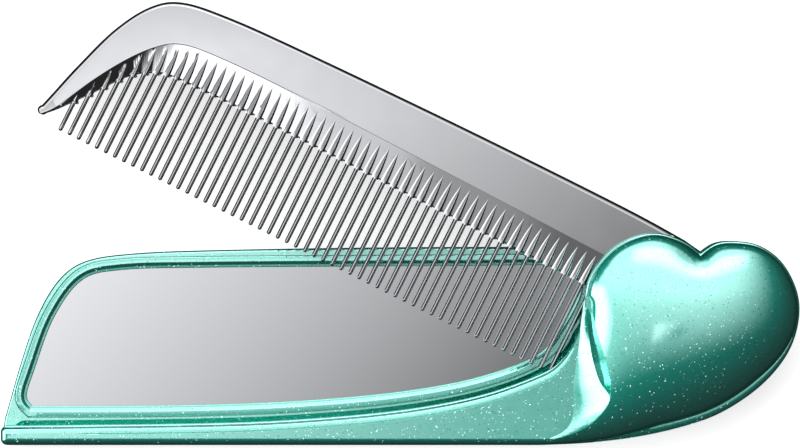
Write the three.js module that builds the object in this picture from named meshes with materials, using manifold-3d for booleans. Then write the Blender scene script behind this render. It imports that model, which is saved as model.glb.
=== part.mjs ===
// A folding pocket comb whose case holds a mirror.
//
// The case is a tray with a framed mirror. A front cover runs along its lower edge as a narrow bar, widens
// into a tail and ends in a heart-shaped dome. The comb turns on a friction hinge under the heart. Closed, it
// lies over the mirror with its tooth tips behind the cover's edge. It is drawn part open.
//
// Millimetres. +X runs along the case towards the heart, +Y across it towards the comb's spine, +Z out of the
// mirror. The origin is on the hinge axis, in the plane that the back panel lies on.

import * as THREE from 'three';
import { mergeVertices } from 'three/addons/utils/BufferGeometryUtils.js';
import Module from 'manifold-3d';

const wasm = await Module();
wasm.setup();

// Outline of the case, from the hinge axis
const REACH = 119.6; // to the far end of the tray
const TOP = 16.1; // to the tray's upper edge
const BASE = 18.5; // to the case's lower edge
const BASE_RUN = 25; // to the end of the straight lower edge, where the heart's curve starts
const BAR_HEIGHT = 3.4; // cover's bar at its far end
const BAR_CORNER = 1.1;

// Thicknesses, from the back to the front
const PANEL_PROUD = 0.3; // how far the back panel stands out of the shell
const PANEL = 0.9;
const TAPE = 0.2; // both foam tapes
const FLOOR = 1; // shell between back panel and mirror
const GLASS = 1.2;
const LIP = 0.5; // frame's lip over the glass
const COMB_GAP = 0.4; // comb to tray, and comb to cover
const COMB = 3.4; // comb's spine
const ROOF = 2; // cover over the comb
const DOME_RISE = 3.8; // heart above the tail's face
const SPLIT_RISE = 1; // parting line of the shells above the tray's rim

// Widths in the plan
const EDGE_ROUND = 0.9; // cover's outer edge
const BACK_ROUND = 0.5; // shell's back edge
const BAR_WALL = 2.1; // wall behind the tooth tips
const HEART_RIM = 2; // shell's rim round the heart
const FRAME_WIDTH = 1.4;
const FRAME_COVERS = 0.6; // frame's lip over the glass edge
const RIB = 0.4; // shell between the frame and the tooth channel
const CHANNEL = 0.7; // tooth channel that shows beside the cover's edge
const PANEL_INSET = 0.9;
const TAPE_INSET = 2.5;
const FIT = 0.1; // side clearance of pressed and taped pieces
const BAR_END = 3.6; // solid end of the bar, past the comb's tip
const TEETH_END = 17.4; // hinge axis to the end of the channel for the tooth tips

// Comb
const OPEN_ANGLE = 26.45; // degrees from closed, as drawn
const TIP_GAP = 0.4; // tooth tips to the bar's wall
const TEETH = 55;
const FIRST_TOOTH = 5.3; // from the tray's far end
const PITCH = 1.774;
const TOOTH_WIDTH = 0.8;
const TOOTH_DEPTH = 1.7;
const SPINE_CHAMFER = 0.7;
const RIDGE = 0.16; // how far a tooth's ridge stands out of the bevel at the web's edge
const SPEAR_GAP = 1; // tooth ridges end this far short of the flat face
const HEEL = 3.5; // hinge axis to the spine's heel
const HEEL_TOP = 15.2; // hinge axis to the heel's upper corner
const HEEL_RADIUS = 0.6;
const STOP_GAP = 0.3; // heel to the joining wall's end, fully open
const HUB_RADIUS = 10.2;

// Hinge
const SLEEVE_RADIUS = 2.5;
const SLEEVE_WALL = 1.4;
const BUSH_WALL = 1;
const RUNNING_FIT = 0.06;
const WASHER_RADIUS = 5.5;
const WASHER = 0.4;
const END_PLAY = 0.05; // beside the comb's hub and each washer
const SPRING = 0.2; // wave washer's sheet
const WAVE = 0.12; // wave washer's amplitude
const WAVES = 3;
const PIVOT_HEAD_RADIUS = 2;
const PIVOT_HEAD = 1.2;
const INSERT_WALL = 0.8;
const INSERT = 3;
const BACK_BOSS_RADIUS = 5;
const FRONT_BOSS_RADIUS = 3.6;

// Screws and tongues that hold the cover to the shell
const SCREW = { head: 1.4, radius: 0.8, length: 7 };
const SMALL_SCREW = { head: 1, radius: 0.55, length: 5.5 };
const SCREW_HEAD = 0.8;
const SCREW_BOSS_RADIUS = 2.2;
const TONGUES = 4;
const TONGUE_LENGTH = 5;
const TONGUE_THICKNESS = 0.8;
const TONGUE_DEPTH = 1.6;
const TONGUE_FIT = 0.2;

// Levels and places that follow from the sizes
const recessZ = PANEL + TAPE;
const floorZ = recessZ + FLOOR;
const glassZ = floorZ + TAPE;
const lipZ = glassZ + GLASS;
const rimZ = lipZ + LIP;
const splitZ = rimZ + SPLIT_RISE;
const combZ = rimZ + COMB_GAP;
const combTopZ = combZ + COMB;
const roofZ = combTopZ + COMB_GAP;
const tailZ = roofZ + ROOF;
const domeZ = tailZ + DOME_RISE;
const backBossZ = combZ - WASHER - 2 * END_PLAY;
const springZ = combTopZ + WASHER + 2 * END_PLAY;
const frontBossZ = springZ + SPRING + 2 * WAVE + END_PLAY;
const farX = -REACH;
const barTop = BAR_HEIGHT - BASE;
const wallY = BAR_WALL - BASE;
const tipY = wallY + TIP_GAP;
const wallEnd = HEEL - STOP_GAP;

// The heart, from the base line round its right side to the notch, and from there down its left lobe
const heartRight = [
  [-16.7, -18.1], [-8.3, -17.1], [-0.2, -15.3], [6.4, -12.9], [12.7, -8.8], [17, -4.3], [19.4, 0.2],
  [20.3, 5.4], [19.4, 9.7], [16.9, 13.9], [13.2, 16.5], [9.4, 17.2], [5.6, 17], [2.9, 15.1],
];
const heartLeft = [
  [0.1, 17.2], [-4.6, 18.7], [-8.7, 18.1], [-12.2, 16.3], [-14.8, 13.7], [-16.8, 10.6], [-17.4, 7.4],
];
// The cover's upper edge, from the heart to the bar
const coverEdge = [
  [-17.7, 4.2], [-19, -0.2], [-21.6, -3.8], [-25.2, -6.1], [-35.7, -9.8], [-49.7, -12.4],
  [-67.3, -14], [-84.8, -14.7],
];
// Foot of the dome on the tail, from the left lobe down to the base line
const domeFoot = [
  [-16, 5], [-14.6, -0.2], [-13, -5.4], [-12.8, -9], [-14.3, -13], [-18.1, -15.9], [-22, -17.4],
];
// The tail's crest beside the dome: its outer foot, its top, and the top's rise above the tail's face
const crest = [
  { foot: [-17.2, 5.4], top: [-16.8, 5.6], rise: 0.1 },
  { foot: [-18.3, -0.5], top: [-16.3, -1], rise: 1 },
  { foot: [-18.8, -5], top: [-15, -5.6], rise: 1.4 },
  { foot: [-18.4, -9], top: [-13.2, -9.8], rise: 1.4 },
  { foot: [-18.4, -12.5], top: [-14, -12.8], rise: 1.1 },
  { foot: [-20, -15.2], top: [-17.6, -15.7], rise: 0.6 },
  { foot: [-22, -16.8], top: [-21.4, -17.2], rise: 0.1 },
];
const GROOVE_WIDTH = 1.2; // from the crest down to the dome's foot
const DOME_CENTRE = new THREE.Vector2(0.5, -6);
// The dome's swelling, from its outline to its middle: share of the way out, share of the height
const domeProfile = [
  [1, 0], [0.985, 0.28], [0.94, 0.52], [0.84, 0.74], [0.64, 0.92], [0.35, 1],
];
const TAIL_FADE = 12; // length over which the dome fades into the tail's tip

// Cross-sections of the closed comb's body: the places of the spine's edge, the flat face's lower edge and the
// web's edge, in percent of the way from the far end to the hinge axis and from the tooth tips to the spine.
// The tray's edge follows the spine.
const sections = [
  { spine: [0.25, 5.61], flat: [0.92, 3.73], web: [1.51, 5.29] },
  { spine: [1.09, 16.51], flat: [2.68, 12.15], web: [3.01, 11.21] },
  { spine: [2.59, 36.14], flat: [5.6, 33.03], web: [6.19, 25.85] },
  { spine: [5.02, 62.31], flat: [8.53, 50.46], web: [9.78, 42.68] },
  { spine: [8.19, 82.24], flat: [11.45, 63.55], web: [12.54, 50.16] },
  { spine: [12.12, 92.52], flat: [14.46, 71.34], web: [15.38, 53.58] },
  { spine: [19.15, 96.58], flat: [19.48, 74.46], web: [20.32, 54.52] },
  { spine: [31.44, 98.44], flat: [31.44, 75.39], web: [31.44, 54.83] },
  { spine: [58.19, 100], flat: [58.19, 73.83], web: [58.19, 53.58] },
  { spine: [83.28, 100], flat: [83.28, 71.96], web: [83.28, 52.96] },
  { spine: [93.65, 98.6], flat: [93.65, 71.96], web: [93.65, 52.96] },
];

// Inner edge of the mirror's frame, anticlockwise from its lower far corner
const windowEdge = [
  [farX + 5, barTop + 2.7], [farX + 17.2, barTop + 2.7], [-84.8, -12.2], [-67.3, -11.5], [-49.7, -9.9],
  [-35.7, -7.3], [-25.2, -3.2], [-20.6, 2.3], [-17.9, 7.4], [-17.7, 10.2], [-20.5, TOP - 2.8],
  [-40, TOP - 2.7], [-60, TOP - 2.8], [farX + 34.8, TOP - 3], [farX + 21, TOP - 3.4],
  [farX + 13.7, TOP - 5.2], [farX + 8.5, TOP - 12], [farX + 5, TOP - 21.3], [farX + 3.5, TOP - 26.4],
];

const coverScrews = [
  { name: 'cover_screw_1', x: farX + 2.6, y: -BASE + 2, size: SMALL_SCREW },
  { name: 'cover_screw_2', x: -14.3, y: -BASE + 6.2, size: SCREW },
  { name: 'cover_screw_3', x: -6.5, y: -BASE + 5.3, size: SCREW },
];

const CURVE_STEPS = 2; // points for each drawn point of a curve
const HEART_STEPS = 3;
const ROUND = 24; // sides of a round piece
const BEYOND = 1; // how far a cutting solid runs past what it cuts
const SAME_POINT = 0.01; // points closer than this are one
const LOOP_SHARE = 0.98; // a point moved in by less than this share of the distance is part of a loop

const vector = ([x, y]) => new THREE.Vector2(x, y);
const allOf = (solids) => solids.reduce((whole, next) => whole.add(next));

// Turns a closed geometry into a solid that can be cut and joined
function solid(geometry) {
  geometry.deleteAttribute('normal');
  geometry.deleteAttribute('uv');
  const merged = mergeVertices(geometry);
  const corners = merged.index.array;
  const kept = [];
  for (let i = 0; i < corners.length; i += 3) {
    const [a, b, c] = corners.slice(i, i + 3);
    if (a !== b && b !== c && c !== a) kept.push(a, b, c);
  }
  return new wasm.Manifold(new wasm.Mesh({
    numProp: 3,
    vertProperties: merged.attributes.position.array,
    triVerts: new Uint32Array(kept),
  }));
}

function geometryOf(manifold) {
  const { vertProperties, triVerts } = manifold.getMesh();
  const geometry = new THREE.BufferGeometry();
  geometry.setAttribute('position', new THREE.BufferAttribute(vertProperties, 3));
  geometry.setIndex(new THREE.BufferAttribute(triVerts, 1));
  geometry.computeVertexNormals();
  return geometry;
}

function plate(outline, low, high) {
  const shape = new THREE.Shape(outline);
  const geometry = new THREE.ExtrudeGeometry(shape, { depth: high - low, bevelEnabled: false });
  geometry.translate(0, 0, low);
  return solid(geometry);
}

function block([lowX, highX], [lowY, highY], low, high) {
  const corners = [[lowX, lowY], [highX, lowY], [highX, highY], [lowX, highY]];
  return plate(corners.map(vector), low, high);
}

function disc(x, y, radius, low, high) {
  const geometry = new THREE.CylinderGeometry(radius, radius, high - low, ROUND);
  geometry.rotateX(Math.PI / 2);
  geometry.translate(x, y, (low + high) / 2);
  return solid(geometry);
}

// A turned piece from its profile of radius and height
function turned(profile) {
  const geometry = new THREE.LatheGeometry(profile.map(vector), ROUND);
  geometry.rotateX(Math.PI / 2);
  return geometry;
}

function tube(inner, outer, height) {
  return turned([[inner, 0], [outer, 0], [outer, height], [inner, height], [inner, 0]]);
}

// Joins rings of equally many points with a skin, and closes both ends with the given triangles
function loft(rings, capTriangles) {
  const count = rings[0].length;
  const positions = rings.flat().flatMap((point) => point.toArray());
  const faces = [];
  for (let r = 0; r + 1 < rings.length; r++) {
    for (let i = 0; i < count; i++) {
      const a = r * count + i;
      const b = r * count + ((i + 1) % count);
      faces.push(a, b, b + count, a, b + count, a + count);
    }
  }
  const last = (rings.length - 1) * count;
  for (const [a, b, c] of capTriangles) {
    faces.push(a, c, b, last + a, last + b, last + c);
  }
  const geometry = new THREE.BufferGeometry();
  geometry.setAttribute('position', new THREE.Float32BufferAttribute(positions, 3));
  geometry.setIndex(faces);
  return solid(geometry);
}

function fan(count) {
  return Array.from({ length: count - 2 }, (_, i) => [0, i + 1, i + 2]);
}

// Moves a closed anticlockwise outline outwards, or inwards where the distance is negative
function offset(outline, distance) {
  return outline.map((point, i) => {
    const before = point.clone().sub(outline.at(i - 1)).normalize();
    const after = outline[(i + 1) % outline.length].clone().sub(point).normalize();
    const along = before.clone().add(after).normalize();
    const out = new THREE.Vector2(along.y, -along.x);
    return point.clone().addScaledVector(out, distance / along.dot(before));
  });
}

function distanceTo(outline, point) {
  const distances = outline.map((start, i) => {
    const side = outline[(i + 1) % outline.length].clone().sub(start);
    const away = point.clone().sub(start);
    const share = THREE.MathUtils.clamp(away.dot(side) / side.lengthSq(), 0, 1);
    return away.addScaledVector(side, -share).length();
  });
  return Math.min(...distances);
}

// An outline moved inwards, without the loops that tight corners and narrow ends would leave
function inset(outline, distance) {
  return offset(outline, -distance).filter((point) => distanceTo(outline, point) > distance * LOOP_SHARE);
}

// A plate whose outline steps in by a given amount at each level
function steppedPlate(outline, levels) {
  const rings = levels.map(([z, step]) => (
    offset(outline, -step).map(({ x, y }) => new THREE.Vector3(x, y, z))
  ));
  return loft(rings, THREE.ShapeUtils.triangulateShape(outline, []));
}

function withoutRepeats(points) {
  return points.filter((point, i) => point.distanceTo(points.at(i - 1)) > SAME_POINT);
}

function splinePoints(points, steps) {
  return new THREE.SplineCurve(points).getPoints((points.length - 1) * steps);
}

// One edge of the comb's body, from its tip to the hinge
function rail(name) {
  const points = sections.map(({ [name]: [along, up] }) => (
    new THREE.Vector2(farX + (REACH * along) / 100, tipY + ((TOP - tipY) * up) / 100)
  ));
  return splinePoints(points, CURVE_STEPS);
}

function heightAt(points, x) {
  const i = points.findIndex((point) => point.x > x);
  const share = (x - points[i - 1].x) / (points[i].x - points[i - 1].x);
  return THREE.MathUtils.lerp(points[i - 1].y, points[i].y, share);
}

const spineRail = rail('spine');
const flatRail = rail('flat');
const webRail = rail('web');

const heartCurve = [
  ...splinePoints([[-BASE_RUN, -BASE], ...heartRight].map(vector), HEART_STEPS),
  ...splinePoints([heartRight.at(-1), ...heartLeft].map(vector), HEART_STEPS),
];

function barCorner(y, start) {
  const path = new THREE.Path();
  path.absarc(farX + BAR_CORNER, y, BAR_CORNER, start, start + Math.PI / 2, false);
  return path.getPoints(CURVE_STEPS);
}

const lowerCorner = barCorner(-BASE + BAR_CORNER, Math.PI);

// The front cover: heart, tail and bar
function drawCover() {
  const drawn = [heartLeft.at(-1), ...coverEdge, [farX + BAR_CORNER, barTop]];
  const edge = splinePoints(drawn.map(vector), CURVE_STEPS);
  const upperCorner = barCorner(barTop - BAR_CORNER, Math.PI / 2);
  return withoutRepeats([...heartCurve, ...edge, ...upperCorner, ...lowerCorner]);
}

// The whole case: the heart down to the tray's upper edge, then the tray's edge along the comb's spine
function drawCase() {
  const heart = heartCurve.filter(({ x, y }) => y < 0 || x > 0 || y > TOP);
  const tray = spineRail.filter(({ x }) => x < heart.at(-1).x).reverse();
  return withoutRepeats([...heart, ...tray, ...lowerCorner]);
}

// The dome: the heart's outline, closed by the foot on the tail's side
function drawDome() {
  const [, footTop] = domeFoot[0];
  const [tipX] = domeFoot.at(-1);
  const heart = heartCurve.filter(({ x, y }) => x > tipX && (y < 0 || x > 0 || y > footTop + GROOVE_WIDTH));
  return withoutRepeats([...heart, ...splinePoints(domeFoot.map(vector), CURVE_STEPS)]);
}

const coverOutline = drawCover();
const caseOutline = drawCase();
const domeOutline = drawDome();
const windowOutline = withoutRepeats(splinePoints([...windowEdge, windowEdge[0]].map(vector), CURVE_STEPS));

// The wall along the lower edge that joins the two shells, clear of the comb at every angle
function joiningWall(low, high) {
  const whole = [-2 * REACH, 2 * REACH];
  const [under, over] = [low - BEYOND, high + BEYOND];
  return plate(coverOutline, low, high)
    .subtract(plate(inset(coverOutline, BAR_WALL), under, over))
    .subtract(block([farX + BAR_END, -TEETH_END], [wallY, REACH], under, over))
    .subtract(block(whole, [-BASE / 2, REACH], under, over))
    .subtract(block([wallEnd, REACH], whole, under, over));
}

// The cover's tongues, or with a clearance the pockets for them in the shell's wall
function tongues(clearance) {
  const run = REACH - BAR_END - TEETH_END;
  const halfLength = TONGUE_LENGTH / 2 + clearance;
  const halfThickness = TONGUE_THICKNESS / 2 + clearance;
  const y = -BASE + BAR_WALL / 2;
  return allOf(Array.from({ length: TONGUES }, (_, i) => {
    const x = farX + BAR_END + ((i + 0.5) * run) / TONGUES;
    return block(
      [x - halfLength, x + halfLength],
      [y - halfThickness, y + halfThickness],
      splitZ - TONGUE_DEPTH - clearance,
      splitZ + TONGUE_DEPTH / 2,
    );
  }));
}

function screwHoles(clearance) {
  return allOf(coverScrews.flatMap(({ x, y, size }) => [
    disc(x, y, size.radius + clearance, 0, recessZ + size.length + clearance),
    disc(x, y, size.head + clearance, 0, recessZ + SCREW_HEAD + clearance),
  ]));
}

function screwBosses(low, high) {
  const large = coverScrews.filter(({ size }) => size === SCREW);
  return allOf(large.map(({ x, y }) => disc(x, y, SCREW_BOSS_RADIUS, low, high)));
}

function backShell() {
  const levels = [
    [PANEL_PROUD, BACK_ROUND], [PANEL_PROUD + BACK_ROUND, 0], [rimZ - BACK_ROUND, 0], [rimZ, BACK_ROUND],
  ];
  const high = splitZ + BEYOND;
  const channel = plate(offset(coverOutline, CHANNEL), floorZ, high)
    .intersect(block([farX + BAR_END, -TEETH_END], [-BASE, TOP], floorZ, high));
  const hollow = plate(inset(coverOutline, HEART_RIM), floorZ, high)
    .add(channel)
    .subtract(plate(offset(windowOutline, FRAME_WIDTH + RIB), 0, high + BEYOND))
    .subtract(joiningWall(0, high + BEYOND));
  return steppedPlate(caseOutline, levels)
    .subtract(plate(offset(windowOutline, FRAME_WIDTH + FIT), floorZ, high))
    .subtract(hollow)
    .add(joiningWall(floorZ, splitZ))
    .add(disc(0, 0, BACK_BOSS_RADIUS, floorZ - FLOOR / 2, backBossZ))
    .add(screwBosses(floorZ - FLOOR / 2, splitZ))
    .subtract(plate(inset(caseOutline, PANEL_INSET - FIT), 0, recessZ))
    .subtract(disc(0, 0, SLEEVE_RADIUS - SLEEVE_WALL, 0, splitZ))
    .subtract(disc(0, 0, PIVOT_HEAD_RADIUS + FIT, 0, recessZ + PIVOT_HEAD))
    .subtract(screwHoles(FIT))
    .subtract(tongues(TONGUE_FIT));
}

function dome(outline, lowered, low) {
  const base = tailZ - EDGE_ROUND;
  const tip = vector(domeFoot.at(-1));
  const ring = (share, height) => outline.map((point) => {
    const place = point.clone().lerp(DOME_CENTRE, 1 - share);
    const fade = THREE.MathUtils.smoothstep(place.distanceTo(tip), 0, TAIL_FADE);
    return new THREE.Vector3(place.x, place.y, base + (domeZ - base) * height * fade - lowered);
  });
  const skirt = outline.map(({ x, y }) => new THREE.Vector3(x, y, low));
  const rings = [skirt, ...domeProfile.map(([share, height]) => ring(share, height))];
  return loft(rings, THREE.ShapeUtils.triangulateShape(outline, []));
}

function crestRidge() {
  const rings = crest.map(({ foot, top, rise }) => {
    const [footX, footY] = foot;
    const [topX, topY] = top;
    return [
      new THREE.Vector3(footX, footY, roofZ),
      new THREE.Vector3(topX + GROOVE_WIDTH, topY, roofZ),
      new THREE.Vector3(topX + GROOVE_WIDTH, topY, tailZ),
      new THREE.Vector3(topX, topY, tailZ + rise),
      new THREE.Vector3(footX, footY, tailZ),
    ];
  });
  return loft(rings, fan(rings[0].length));
}

function frontCover() {
  const levels = [
    [roofZ, 0], [tailZ - EDGE_ROUND, 0], [tailZ - EDGE_ROUND / 4, EDGE_ROUND / 3], [tailZ, EDGE_ROUND],
  ];
  const insertRadius = SLEEVE_RADIUS - SLEEVE_WALL + INSERT_WALL;
  const outside = dome(domeOutline, 0, roofZ);
  return steppedPlate(coverOutline, levels)
    .add(outside)
    .add(crestRidge())
    .subtract(dome(inset(domeOutline, ROOF), ROOF, roofZ - BEYOND))
    .add(joiningWall(splitZ, roofZ + ROOF / 2))
    .add(screwBosses(splitZ, roofZ + ROOF / 2))
    .add(disc(0, 0, FRONT_BOSS_RADIUS, frontBossZ, domeZ - ROOF / 2).intersect(outside))
    .add(tongues(0))
    .subtract(disc(0, 0, insertRadius + FIT, frontBossZ - BEYOND, frontBossZ + INSERT + FIT))
    .subtract(screwHoles(FIT));
}

function mirrorFrame() {
  const outer = offset(windowOutline, FRAME_WIDTH);
  const glassEdge = offset(windowOutline, FIT);
  return steppedPlate(outer, [[floorZ, 0], [rimZ - LIP / 2, 0], [rimZ, LIP / 2]])
    .subtract(plate(glassEdge, floorZ - BEYOND, lipZ))
    .subtract(plate(inset(windowOutline, FRAME_COVERS), lipZ - BEYOND, rimZ + BEYOND));
}

// Half thickness of the comb's bevel, a given share of the way from the web's edge to the flat face
const bevelHalf = (share) => THREE.MathUtils.lerp(TOOTH_DEPTH, COMB, share) / 2;

function combBody() {
  const middle = combZ + COMB / 2;
  const rings = spineRail.map((edge, i) => {
    const shoulder = edge.clone().addScaledVector(flatRail[i].clone().sub(edge).normalize(), SPINE_CHAMFER);
    const side = [
      [edge, COMB / 2 - SPINE_CHAMFER],
      [shoulder, COMB / 2],
      [flatRail[i], bevelHalf(1)],
      [webRail[i], bevelHalf(0)],
    ];
    const front = side.map(([{ x, y }, half]) => new THREE.Vector3(x, y, middle + half));
    const back = side.map(([{ x, y }, half]) => new THREE.Vector3(x, y, middle - half));
    return [...front, ...back.reverse()];
  });
  return loft(rings, fan(rings[0].length));
}

// One tooth: a six-sided rod that runs up the bevel as a low ridge and ends in a point
function tooth(x) {
  const middle = combZ + COMB / 2;
  const web = heightAt(webRail, x);
  const point = heightAt(flatRail, x) - SPEAR_GAP;
  const levels = [
    [tipY, TOOTH_WIDTH / 4, TOOTH_DEPTH / 4],
    [tipY + TOOTH_WIDTH / 2, TOOTH_WIDTH / 2, TOOTH_DEPTH / 2],
    [web - TOOTH_WIDTH / 2, TOOTH_WIDTH / 2, TOOTH_DEPTH / 2 + RIDGE],
    [point, TOOTH_WIDTH / 8, bevelHalf((point - web) / (point + SPEAR_GAP - web)) - RIDGE / 8],
  ];
  const rings = levels.map(([y, halfWidth, halfDepth]) => Array.from({ length: 6 }, (_, i) => {
    const angle = (-i * Math.PI) / 3;
    const depth = (halfDepth * Math.sin(angle)) / Math.sin(Math.PI / 3);
    return new THREE.Vector3(x + halfWidth * Math.cos(angle), y, middle + depth);
  }));
  return loft(rings, fan(rings[0].length));
}

const boreRadius = SLEEVE_RADIUS + RUNNING_FIT + BUSH_WALL + FIT;

function comb() {
  const spine = spineRail.at(-1);
  const web = webRail.at(-1);
  const heel = new THREE.Path();
  heel.moveTo(web.x, web.y);
  heel.lineTo(-HEEL, web.y);
  heel.absarc(-HEEL - HEEL_RADIUS, HEEL_TOP - HEEL_RADIUS, HEEL_RADIUS, 0, Math.PI / 2, false);
  heel.lineTo(spine.x, spine.y);
  return allOf([
    combBody(),
    plate(heel.getPoints(CURVE_STEPS), combZ, combTopZ),
    disc(0, 0, HUB_RADIUS, combZ, combTopZ),
    ...Array.from({ length: TEETH }, (_, i) => tooth(farX + FIRST_TOOTH + i * PITCH)),
  ]).subtract(disc(0, 0, boreRadius, combZ - BEYOND, combTopZ + BEYOND));
}

function waveWasher() {
  const geometry = tube(SLEEVE_RADIUS + FIT, WASHER_RADIUS - FIT, SPRING);
  const position = geometry.attributes.position;
  for (let i = 0; i < position.count; i++) {
    const angle = Math.atan2(position.getY(i), position.getX(i));
    position.setZ(i, position.getZ(i) + WAVE * (1 + Math.cos(WAVES * angle)));
  }
  return geometry;
}

function screw(head, headHeight, radius, length) {
  const chamfer = headHeight / 4;
  return turned([
    [0, 0], [head - chamfer, 0], [head, chamfer], [head, headHeight], [radius, headHeight],
    [radius, length - radius], [radius / 3, length], [0, length],
  ]);
}

const teal = { color: 0x5fd0bd, roughness: 0.2, metalness: 0.7 };
const steel = { color: 0xb9bcc0, roughness: 0.35, metalness: 1 };
const brass = { color: 0xc9a45a, roughness: 0.4, metalness: 1 };
const mirror = { color: 0xc4c6c9, roughness: 0.03, metalness: 1 };
const plating = { color: 0xb4b6ba, roughness: 0.15, metalness: 1 };
const acetal = { color: 0x8d8f92, roughness: 0.5, metalness: 0 };
const foam = { color: 0xe8e6df, roughness: 0.95, metalness: 0 };
const nylon = { color: 0xece9e0, roughness: 0.5, metalness: 0 };

// A named mesh from a solid or a plain geometry, lifted to its level
function piece(name, shape, material, level = 0) {
  const manifold = shape.isBufferGeometry ? solid(shape) : shape;
  const mesh = new THREE.Mesh(geometryOf(manifold), new THREE.MeshStandardMaterial(material));
  mesh.name = name;
  mesh.position.z = level;
  return mesh;
}

function buildCase() {
  const group = new THREE.Group();
  const boreInside = SLEEVE_RADIUS - SLEEVE_WALL;
  const pivotRadius = boreInside - FIT;
  const pivotScrew = screw(PIVOT_HEAD_RADIUS, PIVOT_HEAD, pivotRadius, frontBossZ + INSERT - recessZ);
  const washer = tube(SLEEVE_RADIUS + FIT, WASHER_RADIUS, WASHER);
  group.add(
    piece('back_shell', backShell(), teal),
    piece('back_panel', plate(inset(caseOutline, PANEL_INSET), 0, PANEL), teal),
    piece('panel_tape', plate(inset(caseOutline, TAPE_INSET), 0, TAPE), foam, PANEL),
    piece('mirror_tape', plate(inset(windowOutline, TAPE_INSET), 0, TAPE), foam, floorZ),
    piece('mirror_glass', plate(windowOutline, 0, GLASS), mirror, glassZ),
    piece('mirror_frame', mirrorFrame(), teal),
    piece('front_cover', frontCover(), teal),
    piece('pivot_sleeve', tube(boreInside, SLEEVE_RADIUS, frontBossZ - backBossZ), steel, backBossZ),
    piece('pivot_screw', pivotScrew, steel, recessZ),
    piece('pivot_insert', tube(boreInside, boreInside + INSERT_WALL, INSERT), brass, frontBossZ),
    piece('back_washer', washer.clone(), nylon, backBossZ + END_PLAY),
    piece('front_washer', washer.clone(), nylon, combTopZ + END_PLAY),
    piece('wave_washer', waveWasher(), steel, springZ),
  );
  for (const { name, x, y, size } of coverScrews) {
    const coverScrew = piece(name, screw(size.head, SCREW_HEAD, size.radius, size.length), steel, recessZ);
    coverScrew.position.x = x;
    coverScrew.position.y = y;
    group.add(coverScrew);
  }
  return group;
}

// The comb and its bush are drawn closed and turned together to the open angle
function buildComb() {
  const group = new THREE.Group();
  const bush = tube(SLEEVE_RADIUS + RUNNING_FIT, boreRadius - FIT, COMB);
  group.add(piece('comb', comb(), plating), piece('comb_bush', bush, acetal, combZ));
  group.rotation.z = -THREE.MathUtils.degToRad(OPEN_ANGLE);
  return group;
}

const pocketComb = new THREE.Group();
pocketComb.add(buildCase(), buildComb());

export default pocketComb;
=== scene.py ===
import math

import bpy
import numpy as np
from mathutils import Matrix, Vector
from mathutils.bvhtree import BVHTree
from mathutils.geometry import delaunay_2d_cdt


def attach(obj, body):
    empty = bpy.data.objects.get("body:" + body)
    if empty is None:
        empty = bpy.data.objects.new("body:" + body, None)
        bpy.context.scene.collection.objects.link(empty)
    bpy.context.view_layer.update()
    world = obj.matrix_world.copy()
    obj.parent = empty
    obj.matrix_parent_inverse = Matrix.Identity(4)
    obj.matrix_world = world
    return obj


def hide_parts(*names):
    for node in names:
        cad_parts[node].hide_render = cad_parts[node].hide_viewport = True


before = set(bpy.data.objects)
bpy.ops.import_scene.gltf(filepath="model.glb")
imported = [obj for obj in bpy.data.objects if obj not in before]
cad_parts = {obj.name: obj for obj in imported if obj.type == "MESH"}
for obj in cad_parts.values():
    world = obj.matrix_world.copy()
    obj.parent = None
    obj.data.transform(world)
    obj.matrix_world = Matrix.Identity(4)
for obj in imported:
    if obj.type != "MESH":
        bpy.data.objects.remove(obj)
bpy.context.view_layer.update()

# Back shell
# The tray that everything is built into: one ABS moulding, metallised and lacquered in translucent teal.
# Its outline is the whole case. It has a pocket for the mirror's frame and a slot for the tooth tips.

MM = 0.001
REACH, TOP, BASE = 119.6, 16.1, 18.5  # hinge axis to the tray's far end, upper edge and lower edge
FAR_X = -REACH
BAR_TOP = 3.4 - BASE  # upper edge of the cover's bar at its far end
BAR_CORNER = 1.1
# Heights: the panel's recess, the pocket's floor, the tray's rim, the joint of the shells, the roof over the comb
RECESS_Z, FLOOR_Z, RIM_Z, SPLIT_Z, ROOF_Z = 1.1, 2.1, 4.0, 5.0, 8.2
SHELL_LOW_Z, SHELL_ROUND = 0.3, 0.5  # the shell's lower edge, and the rounding of both its edges
BAR_WALL = 2.1  # thickness of the wall that joins the shells
BAR_END, TEETH_END, WALL_END = 3.6, 17.4, 3.2  # the wall's solid far end, the end of the teeth's slot, its near end
FRAME_WIDTH, FIT = 1.4, 0.1
CHANNEL, RIB, HEART_RIM = 0.7, 0.4, 2.0  # widths beside the cover's edge, beside the frame and round the heart
PANEL_RIM = 0.8  # width of the edge round the back panel
HINGE_BOSS, HINGE_BOSS_Z = 5.0, 3.9  # radius and top
PIVOT_HOLE, PIVOT_HEAD, PIVOT_HEAD_DEPTH = 1.1, 2.1, 1.2  # the hinge screw's radii and the depth of its head
SCREW_HEAD, SCREW_BOSS = 0.8, 2.2  # depth of a head, radius of a boss
SCREW_PLACES = [(FAR_X + 2.6, -BASE + 2, 0.55, 1.0, 5.5), (-14.3, -BASE + 6.2, 0.8, 1.4, 7),
                (-6.5, -BASE + 5.3, 0.8, 1.4, 7)]  # x, y, radius, head's radius, length
BEYOND = 1.0  # how far a cutting solid runs past what it cuts
SINK = 0.5  # how far a boss reaches into the floor it is joined to

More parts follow.
